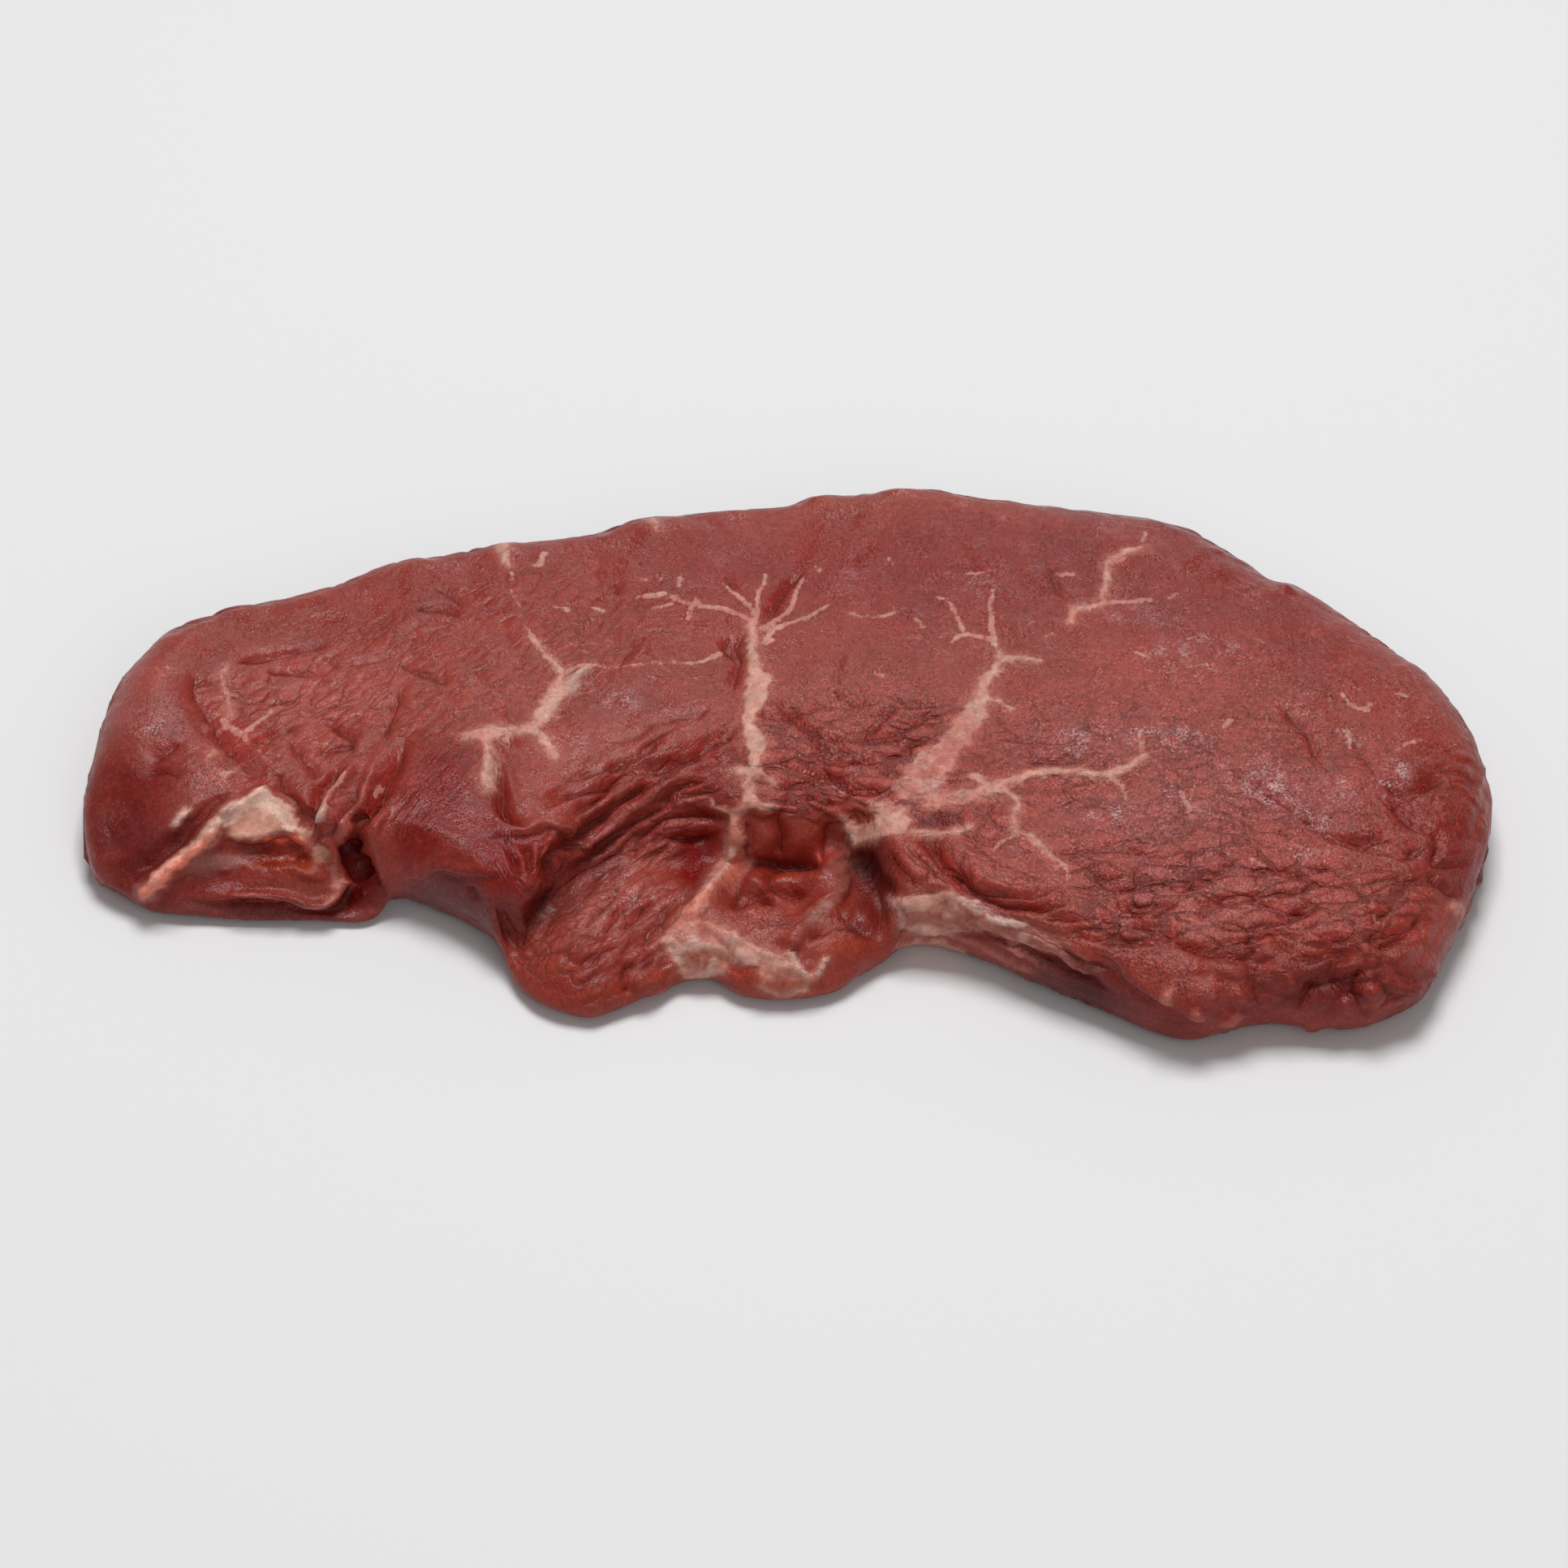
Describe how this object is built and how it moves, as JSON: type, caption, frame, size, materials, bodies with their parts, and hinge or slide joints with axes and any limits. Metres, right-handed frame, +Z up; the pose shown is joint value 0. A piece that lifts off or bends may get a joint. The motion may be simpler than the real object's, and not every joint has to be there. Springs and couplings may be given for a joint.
{
  "type": "top sirloin steak",
  "caption": "Raw boneless beef steak, a thick crescent lying flat, with branching fat seams, a folded fat-edged flap at one end and a torn lower lobe in its hollow front edge",
  "frame": {"origin": "The middle of the steak's plan, on the surface it rests on", "axes": "X runs along the steak, from the folded flap to the blunt end; Y runs across it, from the hollow front edge to the rounded far edge; Z is up, through its thickness"},
  "size_m": [0.2376, 0.1236, 0.0207],
  "materials": {
    "meat": "moist raw beef, dull brownish red with a soft wet sheen, pale pink and cream where fat and gristle show"
  },
  "bodies": {
    "root": {"steak": "meat"}
  },
  "joints": []
}
